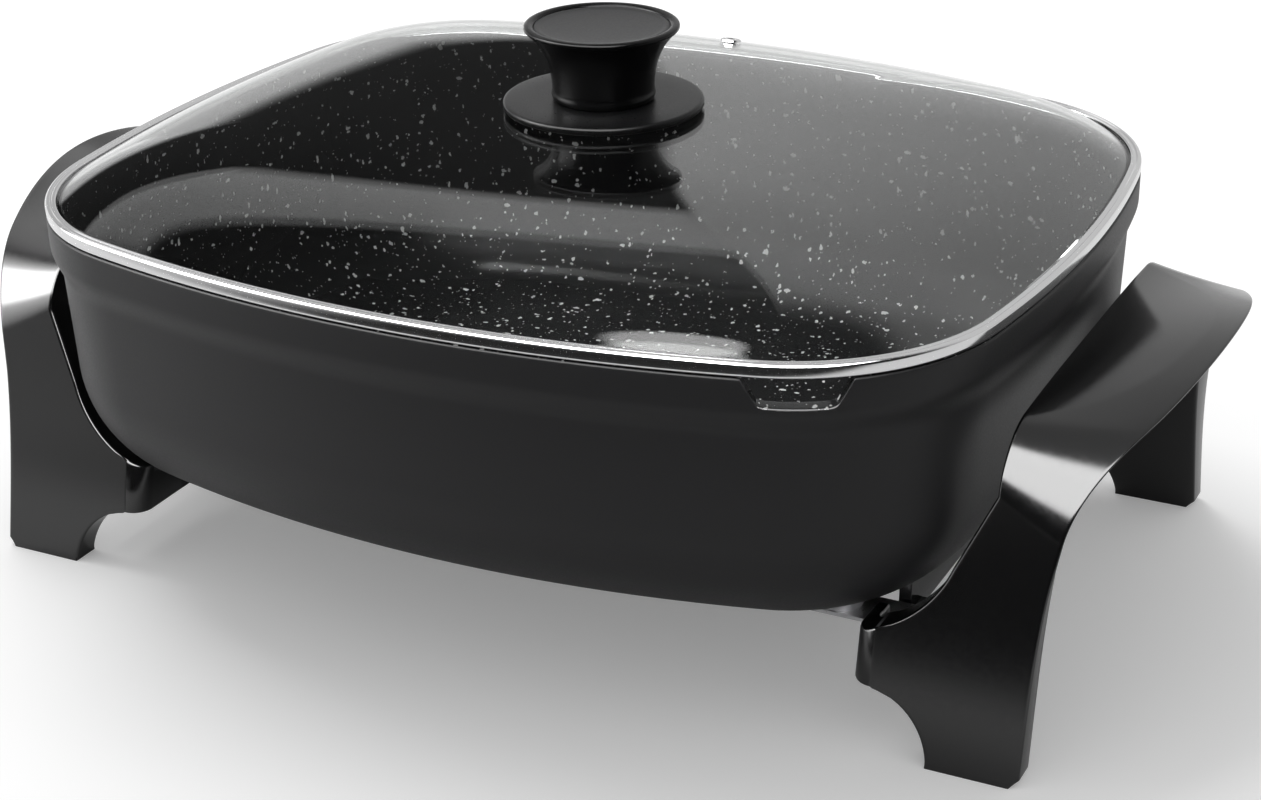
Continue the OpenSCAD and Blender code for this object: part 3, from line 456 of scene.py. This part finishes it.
def strap_grid():
    """Closed rings of the strap: its outer face, rounded edge, slanting side, rounded edge, inner
    face and back. Rounds shrink to nothing where the leg runs into the arm."""
    outer, inner = strap_faces(56)
    heights = outer[:, :1, 2:]
    arm_from, arm_to, hardly = 24.4, 48.5, 0.02
    full = np.full(heights.shape, EDGE_ROUND)
    arm = (heights > arm_from) & (heights < arm_to)
    above_toe = np.clip(heights / 2.0 + 0.15, 0, 1)
    near, far = np.where(arm, hardly, full) * above_toe, full * above_toe

    def pull(face, start, stop):
        """The same face line with its ends drawn in by a length each."""
        width = np.linalg.norm(face[:, -1:] - face[:, :1], axis=-1, keepdims=True)
        rest = np.linspace(0, 1, face.shape[1])[None, :, None]
        at = start / width + rest * (1 - (start + stop) / width)
        low = np.clip(np.floor(at * (face.shape[1] - 1)).astype(int), 0, face.shape[1] - 2)
        blend = at * (face.shape[1] - 1) - low
        rows = np.arange(face.shape[0])[:, None, None]
        return (np.take_along_axis(face, np.broadcast_to(low, face.shape), 1) * (1 - blend)
                + np.take_along_axis(face, np.broadcast_to(low + 1, face.shape), 1) * blend)

    def towards(a, b, length):
        """The point at a length from a on the way to b."""
        way = b - a
        return a + way / np.linalg.norm(way, axis=-1, keepdims=True) * length

    a, b = outer[:, :1], outer[:, -1:]
    c, d = inner[:, -1:], inner[:, :1]
    top = pull(outer, near, far)
    low = pull(inner, near, far)[:, ::3][:, ::-1]
    outer_far, inner_far = towards(b, c, far), towards(c, b, far)
    inner_near, outer_near = towards(d, a, near), towards(a, d, near)
    rings = [top, eased(top[:, -1:], b, outer_far), outer_far, inner_far,
             eased(inner_far, c, low[:, :1]), low, eased(low[:, -1:], d, inner_near),
             inner_near, outer_near, eased(outer_near, a, top[:, :1])]
    half = np.concatenate(rings, 1)
    return np.concatenate([half, half[-2::-1] * [1, -1, 1]])


def yoke_grid(window):
    """Cross wall and its two arms: a path in plan of straight runs and two corners, with a section
    of outer face, top and inner face. The top dips where the steel strips pass, and on the left
    frame also behind the plug inlet."""
    wall_thick, arm_thick, outer_round, inner_round = 5.0, 11.0, 8.0, 4.0
    strip_y, strip_half, strip_dip, inlet_half, inlet_dip = 80.0, 11.0, 31.5, 36.1, 30.0
    turn = np.radians(np.linspace(90, 180, 10))[1:]
    run = np.concatenate([[97.0, 94.0], np.linspace(92, 68.8, 24),
                          [68.7, 60.0, 48.0, 36.4, 36.2, 36.0, 24.0, 12.0, 0.0]])
    reach = np.concatenate([[173.0, STRAP_X], np.zeros(len(turn)), np.zeros(len(run))])
    on_arm = np.arange(len(reach)) < 2
    on_wall = np.arange(len(reach)) >= 2 + len(turn)
    spin = np.concatenate([[np.pi / 2] * 2, turn, [np.pi] * len(run)])
    way = np.concatenate([np.zeros(2 + len(turn)), run])

    def plan(z, wall, arm, radius):
        """One half of the path at a height, from the arm's hidden end to the middle."""
        w = leg_plane(z) - SEAM - arm
        corner = ARM_X + wall + radius * (1 + np.cos(spin))
        x = np.where(on_arm, reach, np.where(on_wall, ARM_X + wall, corner))
        y = np.where(on_wall, np.minimum(way, w - radius - 0.01), w - radius + radius * np.sin(spin))
        return x, y

    x, y = plan(30.0, 0.0, 0.0, outer_round)
    dip = np.where(np.abs(y - strip_y) < strip_half, strip_dip, ARM_HIGH)
    if window:
        dip = np.where(y < inlet_half, inlet_dip, dip)
    arms = SCOOP[1] - np.sqrt(SCOOP[2] ** 2 - (np.clip(x, ARM_X, 171.9) - SCOOP[0]) ** 2) - SEAM
    tops = np.where(on_wall, dip, arms)
    outer_rows, inner_rows = [], []
    for share in (0.0, 0.03, 0.5, 0.94, 0.985, 1.0):
        z = ARM_LOW + (tops - ARM_LOW) * share
        back = 0.25 * (share > 0.98) + 0.35 * (share > 0.99) + 0.3 * (share == 0.0)
        outer_rows.append(np.stack([*plan(z, back, back, outer_round - back), z], -1))
        inner = plan(z, wall_thick - back, arm_thick - back, inner_round + back)
        inner_rows.append(np.stack([*inner, z], -1))
    half = np.stack(outer_rows + inner_rows[::-1], 1)
    return np.concatenate([half, half[-2::-1] * [1, -1, 1]])


def rounded_block(name, low, high, radius, body, made):
    """A block with rounded upright corners and eased edges: level rings of four arcs, drawn in a
    little at top and bottom."""
    turn = np.radians(np.arange(0, 360, 15) + 7.5)
    centre, half = (np.array(low) + high) / 2, (np.array(high) - low) / 2
    rings = []
    for z, back in ((-1, 0.5), (-0.9, 0.1), (-0.7, 0), (0.7, 0), (0.9, 0.1), (1, 0.5)):
        x = np.sign(np.cos(turn)) * (half[0] - radius) + (radius - back) * np.cos(turn)
        y = np.sign(np.sin(turn)) * (half[1] - radius) + (radius - back) * np.sin(turn)
        rings.append(np.stack([centre[0] + x, centre[1] + y, np.full(x.shape, centre[2] + half[2] * z)], -1))
    return surface(name, np.stack(rings), body, made, ends=True, smooth=False)


def crease(piece, degrees=38):
    """Smooth shading that breaks at edges sharper than the angle."""
    piece.data.set_sharp_from_angle(angle=math.radians(degrees))
    return piece


frame_plastic = grainy(material("frame_plastic", (0.0028, 0.0028, 0.003), 0.16, Specular_IOR_Level=0.7),
                       2.2, (0.14, 0.18), 0.02)


def build_frame(side, word):
    """One frame: strap, cross wall with its arms, and a shelf under each steel strip. Side is 1 on
    the right and -1 on the left, which is its mirror image."""
    shelf_x, shelf_y, shelf_low, shelf_high = (160.0, 185.9), (57.0, 104.0), 26.0, 30.0
    mirror = np.array([side, 1, 1])
    strap_points, yoke_points = strap_grid() * mirror, yoke_grid(side < 0) * mirror
    strap = crease(surface(f"handle_strap_{word}", strap_points, "base", frame_plastic, ends=True))
    yoke = crease(surface(f"handle_yoke_{word}", yoke_points, "base", frame_plastic, ends=True))
    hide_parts(f"handle_frame_{word}")
    for name, y in (("front", -1), ("back", 1)):
        xs = sorted(side * value for value in shelf_x)
        ys = sorted(y * value for value in shelf_y)
        shelf = rounded_block(f"frame_shelf_{word}_{name}", (xs[0], ys[0], shelf_low),
                              (xs[1], ys[1], shelf_high), 1.5, "base", frame_plastic)


build_frame(1, "right")
build_frame(-1, "left")


# ---------------------------------------------------------------------------
# Lid. Tempered glass with a shallow crown, held in a band of polished steel
# that is rolled round its edge, and a steel eyelet for the steam vent.
# ---------------------------------------------------------------------------

GLASS_INSET, GLASS_TOP, GLASS_UNDER, SCREW_HOLE = 5.0, 161.0, 157.2, 5.5
CROWN_RISE, CROWN_POWER, CROWN_BLEND = 25, 4.3, 0.45


def dome_height(share):
    """Height of the glass over its edge, by distance out from the middle as a share: flat in the
    middle and steeper outwards, as one minus a power."""
    return CROWN_RISE * (1 - share ** CROWN_POWER)


def build_glass():
    """Sweeps the pane as one closed skin: round its edge, over the crown to the screw hole, down the
    hole and back under the crown."""
    facings = rim_facings(10, 16, 16)
    x, y = rim_plan(facings, GLASS_INSET)
    edge = np.stack([x, y], -1)
    round_way = edge / np.linalg.norm(edge, axis=-1, keepdims=True)

    def level(points, z):
        """Plan points raised to one height."""
        return np.concatenate([points, np.full((len(points), 1), z)], 1)

    shares = 1 - np.linspace(0, 1, 50)[1:-1] ** 1.5 * 0.94

    def crown(share, base):
        """A loop of the crown: parallel to the edge near it and the edge scaled down further in, with
        a smooth change from one to the other."""
        way = min(1.0, (1 - share) / CROWN_BLEND)
        way = way * way * (3 - 2 * way)
        inset = GLASS_INSET + (1 - max(share, 1 - CROWN_BLEND)) * (RIM_HALF_WIDTH - GLASS_INSET)
        near = np.stack(rim_plan(facings, inset), -1)
        return level(near * (1 - way) + edge * share * way, base + dome_height(share))

    rings = [level(np.stack(rim_plan(facings, inset), -1), z) for inset, z in (
        (7.6, 157.8), (3.0, 157.8), (1.6, 158.0), (1.5, 159.5), (1.6, 160.8), (3.0, GLASS_TOP))]
    rings += [crown(share, GLASS_TOP) for share in [1.0, *shares]]
    rings += [level(round_way * SCREW_HOLE, base + CROWN_RISE) for base in (GLASS_TOP, GLASS_UNDER)]
    rings += [crown(share, GLASS_UNDER) for share in shares[::-1]]
    piece = surface("lid_glass_pane", np.stack(rings), "lid", lid_glass, along=True)
    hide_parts("lid_glass")


def clear_glass():
    """Clear glass that lets lamps through: its shadow is a nearly clear film."""
    made = material("lid_glass", (0.97, 0.985, 0.98), 0.0, Transmission_Weight=1.0, IOR=1.47)
    shader = made.node_tree.nodes["Principled BSDF"]
    out = made.node_tree.nodes["Material Output"]
    path = node(made, "ShaderNodeLightPath")
    film = node(made, "ShaderNodeBsdfTransparent")
    film.inputs["Color"].default_value = (0.97, 0.975, 0.972, 1)
    mixed = node(made, "ShaderNodeMixShader")
    wire(made, path.outputs["Is Shadow Ray"], mixed.inputs[0])
    wire(made, shader.outputs[0], mixed.inputs[1])
    wire(made, film.outputs[0], mixed.inputs[2])
    wire(made, mixed.outputs[0], out.inputs["Surface"])
    return made


lid_glass = clear_glass()
build_glass()

polished = grainy(material("polished_steel", (0.72, 0.72, 0.725), 0.18, 1.0), 3.0, (0.1, 0.15), 0.02)


def build_band():
    """Rolled band: a C section with a round outer face, swept round the plan."""
    outer = np.concatenate([
        line((6.0, 156.6), (1.5, 156.6), 3)[:-1],
        quarter_turn((1.35, 157.95), 1.35, 270, 180, 7),
        line((0, 158.2), (0, 160.6), 3)[1:-1],
        quarter_turn((1.4, 160.65), 1.4, 180, 90, 9),
        line((1.7, 162.0), (2.3, 161.7), 3), line((2.5, 161.7), (3.0, 162.0), 3),
        quarter_turn((3.5, 161.0), 1.05, 105, 0, 7)])
    inner = np.array([(4.0, 161.1), (1.3, 161.08), (1.25, 159.5), (1.3, 157.65), (5.9, 157.6),
                      (6.0, 157.1)])
    profile = np.concatenate([outer, inner])
    facings = rim_facings(18, 30, 30)
    x, y = rim_plan(facings[None, :], profile[:, :1])
    z = np.broadcast_to(profile[:, 1:], x.shape)
    piece = crease(surface("lid_band", np.stack([x, y, z], -1), "lid", polished, along=True), 50)
    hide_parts("lid_rim")


build_band()
finish_node("vent_grommet", polished)


# ---------------------------------------------------------------------------
# Knob. A flared moulded knob with a dished cap stands on a flat disc, and a
# screw from under the glass holds the stack, with a rubber gasket between.
# ---------------------------------------------------------------------------

def revolve(name, profile, base, body, made, count=128):
    """Turns a profile of (radius, height) round the upright axis of the knob."""
    a = np.linspace(0, 2 * np.pi, count, endpoint=False)[None, :]
    r, z = profile[:, :1], profile[:, 1:]
    grid = np.stack([r * np.cos(a), r * np.sin(a), np.broadcast_to(z + base, (len(profile), count))], -1)
    return surface(name, grid, body, made)


def through(points, steps=6):
    """A smooth curve through points: the Catmull-Rom cubic between each two, with the tangent at a
    point half the way from its left to its right neighbour."""
    p = np.array(points, float)
    p = np.concatenate([[2 * p[0] - p[1]], p, [2 * p[-1] - p[-2]]])
    t = np.linspace(0, 1, steps, endpoint=False)[None, :, None]
    a, b, c, d = (p[i:len(p) - 3 + i, None] for i in range(4))
    square, cube = 2 * a - 5 * b + 4 * c - d, 3 * b - a - 3 * c + d
    curve = 0.5 * (2 * b + (c - a) * t + square * t ** 2 + cube * t ** 3)
    return np.concatenate([curve.reshape(-1, 2), p[-2:-1]])


knob_plastic = grainy(material("knob_plastic", (0.0025, 0.0025, 0.0027), 0.22, Specular_IOR_Level=0.15),
                      1.2, (0.2, 0.26), 0.05)
skirt_plastic = grainy(material("skirt_plastic", (0.004, 0.004, 0.0042), 0.3, Specular_IOR_Level=0.18),
                       1.0, (0.27, 0.34), 0.06)
cap_plastic = grainy(material("cap_plastic", (0.009, 0.009, 0.0094), 0.38, Specular_IOR_Level=0.25),
                     0.8, (0.36, 0.44), 0.08)

SKIRT_LOW, KNOB_LOW, CAP_LOW = 187.05, 190.3, 217.95

skirt_shape = np.array([(2.8, 0.0), (38.8, 0.0), (39.6, 0.3), (40.0, 0.9), (40.0, 2.0), (39.8, 2.7),
                        (39.2, 3.1), (38.4, 3.2), (30.0, 3.2), (2.8, 3.2)])
skirt = revolve("knob_disc", skirt_shape, SKIRT_LOW, "lid", skirt_plastic)
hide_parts("knob_skirt")

flare = through([(20.3, 1.0), (20.7, 2.2), (20.3, 4.8), (20.8, 10.0), (22.2, 16.0), (25.0, 21.8),
                 (28.5, 26.4), (30.1, 27.8), (30.7, 28.7), (30.4, 29.7), (29.2, 30.2), (27.8, 30.0),
                 (26.9, 29.3)])
knob_shape = np.concatenate([[(4.6, 0.0), (19.6, 0.0), (20.1, 0.4)], flare, [(26.8, 27.7), (0.0, 27.7)]])
knob = crease(revolve("knob_body", knob_shape, KNOB_LOW, "lid", knob_plastic), 55)
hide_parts("knob")

cap_curve = through([(26.7, 1.4), (25.6, 1.55), (23.5, 1.2), (18.0, 0.9), (10.0, 0.7), (0.0, 0.62)])
cap_shape = np.concatenate([[(0.0, 0.0), (26.6, 0.0)], cap_curve])
cap = revolve("knob_top", cap_shape, CAP_LOW, "lid", cap_plastic)
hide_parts("knob_cap")

gasket_rubber = grainy(material("gasket_rubber", (0.02, 0.02, 0.02), 0.7), 0.5, (0.62, 0.78), 0.2)
insert_brass = grainy(material("insert_brass", (0.6, 0.42, 0.16), 0.3, 1.0), 0.6, (0.24, 0.36), 0.06)

finish_node("knob_gasket", gasket_rubber)
finish_node("knob_insert", insert_brass)
finish_node("knob_screw", zinc_steel)
finish_node("knob_washer", zinc_steel)


# ---------------------------------------------------------------------------
# Table, light and camera. A wide white table under a plain white surround,
# with one large soft lamp above the left and back.
# ---------------------------------------------------------------------------

def soft_step(made, value, start, stop, low=0.0, high=1.0):
    """A smooth step of a value in a material: low up to start and high from stop on."""
    step = node(made, "ShaderNodeMapRange", interpolation_type="SMOOTHSTEP",
                From_Min=start, From_Max=stop, To_Min=low, To_Max=high)
    wire(made, value, step.inputs["Value"])
    return step.outputs["Result"]


def build_table():
    """A flat round table of white paint with a little glow, which carries the soft shadow. Mirrors
    see it dark in front of the object from the middle rightwards, as with a dark screen there."""
    corners, radius, glow_strength = 64, 6, 0.2
    a = np.linspace(0, 2 * np.pi, corners, endpoint=False)
    ring = np.stack([np.cos(a), np.sin(a), np.zeros(corners)], -1)
    made = bpy.data.materials.new("white_table")
    made.use_nodes = True
    tree = made.node_tree
    tree.nodes.remove(tree.nodes["Principled BSDF"])
    out = tree.nodes["Material Output"]
    paint = node(made, "ShaderNodeBsdfDiffuse")
    paint.inputs["Color"].default_value = (0.9, 0.9, 0.9, 1)
    glow = node(made, "ShaderNodeEmission")
    path = node(made, "ShaderNodeLightPath")
    seen = math_node(made, "MAXIMUM", path.outputs["Is Camera Ray"], path.outputs["Is Transmission Ray"])
    wire(made, math_node(made, "MULTIPLY", seen, glow_strength), glow.inputs["Strength"])
    both = node(made, "ShaderNodeAddShader")
    wire(made, paint.outputs[0], both.inputs[0])
    wire(made, glow.outputs[0], both.inputs[1])
    place = node(made, "ShaderNodeTexCoord")
    split = node(made, "ShaderNodeSeparateXYZ")
    wire(made, place.outputs["Object"], split.inputs[0])
    screened = soft_step(made, split.outputs[1], -0.31, -0.42, 0.0, 0.97)
    open_side = soft_step(made, split.outputs[0], -0.6, -0.2, 0.25, 1.0)
    dark = math_node(made, "MULTIPLY", screened, open_side)
    nothing = node(made, "ShaderNodeEmission", Strength=0.0)
    mixed = node(made, "ShaderNodeMixShader")
    bounced = math_node(made, "SUBTRACT", path.outputs["Is Glossy Ray"], path.outputs["Is Transmission Ray"])
    wire(made, math_node(made, "MULTIPLY", dark, bounced), mixed.inputs[0])
    wire(made, both.outputs[0], mixed.inputs[1])
    wire(made, nothing.outputs[0], mixed.inputs[2])
    wire(made, mixed.outputs[0], out.inputs["Surface"])
    mesh = bpy.data.meshes.new("table")
    mesh.from_pydata((ring * radius).tolist(), [], [list(range(corners))])
    mesh.materials.append(made)
    table = bpy.data.objects.new("table", mesh)
    bpy.context.scene.collection.objects.link(table)


build_table()


def build_surround():
    """The room. To the eye and through glass it is white, and soft light comes from all round.
    Reflections show dark walls with soft panels: glass sees one behind on the right, a strip over
    the back on the left, a faint one over the front and a small round one overhead. Satin surfaces
    see the front one brighter, more of the left, the ceiling and a bright one far left. A panel is
    a product of smooth steps in two angles of the direction, in degrees: turn is 0 at the back and
    grows rightwards, height is over the horizon, and front_rise is 0 in front and 90 overhead."""
    parting, mirror_tone, satin_tone, left_tone = -26.5, 0.66, 0.5, 6.0
    front_tone, satin_boost, dot_tone, wall_tone, fill = 0.6, 19.0, 7.0, 0.03, 0.6
    world = bpy.data.worlds.new("surround")
    bpy.context.scene.world = world
    world.use_nodes = True
    background = world.node_tree.nodes["Background"]
    place = node(world, "ShaderNodeTexCoord")
    split = node(world, "ShaderNodeSeparateXYZ")
    wire(world, place.outputs["Object"], split.inputs[0])
    x, y, z = split.outputs
    turn = math_node(world, "ARCTAN2", x, y)
    height = math_node(world, "ARCSINE", z)
    front_rise = math_node(world, "ARCTAN2", z, math_node(world, "MULTIPLY", y, -1.0))

    def between(value, low, high, low_edge, high_edge):
        """One inside a span of degrees, falling smoothly to nothing over an edge on each side."""
        steps = [soft_step(world, value, math.radians(at - width / 2), math.radians(at + width / 2))
                 for at, width in ((low, low_edge), (high, -high_edge))]
        return math_node(world, "MULTIPLY", *steps)

    def panel(across, upwards, strength):
        """A panel from its two spans and its brightness."""
        return math_node(world, "MULTIPLY", math_node(world, "MULTIPLY", across, upwards), strength)

    path = node(world, "ShaderNodeLightPath")
    outside = math_node(world, "LESS_THAN", path.outputs["Transmission Depth"], 2.5)
    satin = math_node(world, "SUBTRACT", path.outputs["Is Glossy Ray"], path.outputs["Is Singular Ray"])
    behind = panel(between(turn, parting, 80, 1, 40), between(height, -30, 62, 10, 14), mirror_tone)
    strip = panel(between(turn, -82, parting, 14, 2), between(height, 31, 43, 1.5, 1.5), mirror_tone)
    horizon = panel(between(turn, -120, parting, 30, 2), between(height, -30, 9, 10, 4), mirror_tone)
    clear = math_node(world, "ADD", math_node(world, "ADD", behind, strip), horizon)
    shown = math_node(world, "MULTIPLY", clear, outside)
    low = panel(between(turn, -85, parting, 30, 2), between(height, -30, 62, 10, 14), satin_tone)
    ceiling = math_node(world, "MULTIPLY", between(height, 62, 100, 14, 2), satin_tone)
    left = panel(between(turn, -135, -92, 24, 14), between(height, -8, 40, 8, 15), left_tone)
    extra = math_node(world, "ADD", math_node(world, "ADD", low, ceiling), left)
    shown = math_node(world, "ADD", shown, math_node(world, "MULTIPLY", extra, satin))
    sideways = math_node(world, "ARCSINE", x)
    front = panel(between(front_rise, 26, 76, 6, 6), between(sideways, -62, 40, 10, 10), front_tone)
    boost = math_node(world, "ADD", math_node(world, "MULTIPLY", satin, satin_boost), 1.0)
    shown = math_node(world, "ADD", shown, math_node(world, "MULTIPLY", front, boost))
    apart = node(world, "ShaderNodeVectorMath", operation="DOT_PRODUCT")
    wire(world, place.outputs["Object"], apart.inputs[0])
    apart.inputs[1].default_value = (-0.241, 0.021, 0.970)
    dot_edge, dot_core = (math.cos(math.radians(degrees)) for degrees in (5, 3.5))
    overhead = soft_step(world, apart.outputs["Value"], dot_edge, dot_core)
    shown = math_node(world, "ADD", shown, math_node(world, "MULTIPLY", overhead, dot_tone))
    shown = math_node(world, "ADD", shown, wall_tone)
    seen = math_node(world, "MAXIMUM", path.outputs["Is Camera Ray"], path.outputs["Is Transmission Ray"])
    plain = math_node(world, "ADD", math_node(world, "MULTIPLY", seen, 1 - fill), fill)
    undiffused = math_node(world, "LESS_THAN", path.outputs["Diffuse Depth"], 0.5)
    low_down = math_node(world, "LESS_THAN", z, 0.05)
    past_glass = math_node(world, "MULTIPLY", path.outputs["Is Transmission Ray"], low_down)
    glossy = math_node(world, "SUBTRACT", path.outputs["Is Glossy Ray"], past_glass)
    mirrored = math_node(world, "MULTIPLY", glossy, undiffused)
    chosen = node(world, "ShaderNodeMix", data_type="FLOAT")
    wire(world, mirrored, chosen.inputs[0])
    wire(world, plain, chosen.inputs[2])
    wire(world, shown, chosen.inputs[3])
    wire(world, chosen.outputs[0], background.inputs["Strength"])
    background.inputs["Color"].default_value = (1, 1, 1, 1)
    world.cycles.sampling_method = "NONE"


build_surround()


def softbox(name, place, target, width, height, power):
    """A flat lamp that faces its target, and that mirrors and glass don't show."""
    lamp = bpy.data.lights.new(name, "AREA")
    lamp.shape = "RECTANGLE"
    lamp.size, lamp.size_y = width, height
    lamp.energy = power
    holder = bpy.data.objects.new(name, lamp)
    holder.location = place
    holder.rotation_euler = (Vector(target) - Vector(place)).to_track_quat("-Z", "Y").to_euler()
    holder.visible_glossy = False
    holder.visible_transmission = False
    bpy.context.scene.collection.objects.link(holder)


softbox("key_softbox", (-0.9, 0.5, 1.9), (0, 0, 0.1), 1.4, 1.4, 24)

scene = bpy.context.scene
scene.view_settings.view_transform = "Standard"
picture_width, picture_height, centre_across, centre_down = 1261, 800, 755.5, 456.79
focal_length, sensor_width, distance = 2422.51, 36.0, 0.96425
lens = bpy.data.cameras.new("camera")
lens.sensor_fit = "HORIZONTAL"
lens.sensor_width = sensor_width
lens.lens = focal_length * sensor_width / picture_width
lens.shift_x = -(centre_across - picture_width / 2) / picture_width
lens.shift_y = (centre_down - picture_height / 2) / picture_width
camera = bpy.data.objects.new("camera", lens)
aim = Vector((0.08034, -0.03159, 0.06126))
away, lift = math.radians(24.27), math.radians(26.32)
camera.location = aim + distance * Vector((math.sin(away) * math.cos(lift), -math.cos(away) * math.cos(lift),
                                           math.sin(lift)))
camera.rotation_euler = (aim - camera.location).to_track_quat("-Z", "Y").to_euler()
scene.collection.objects.link(camera)
scene.camera = camera
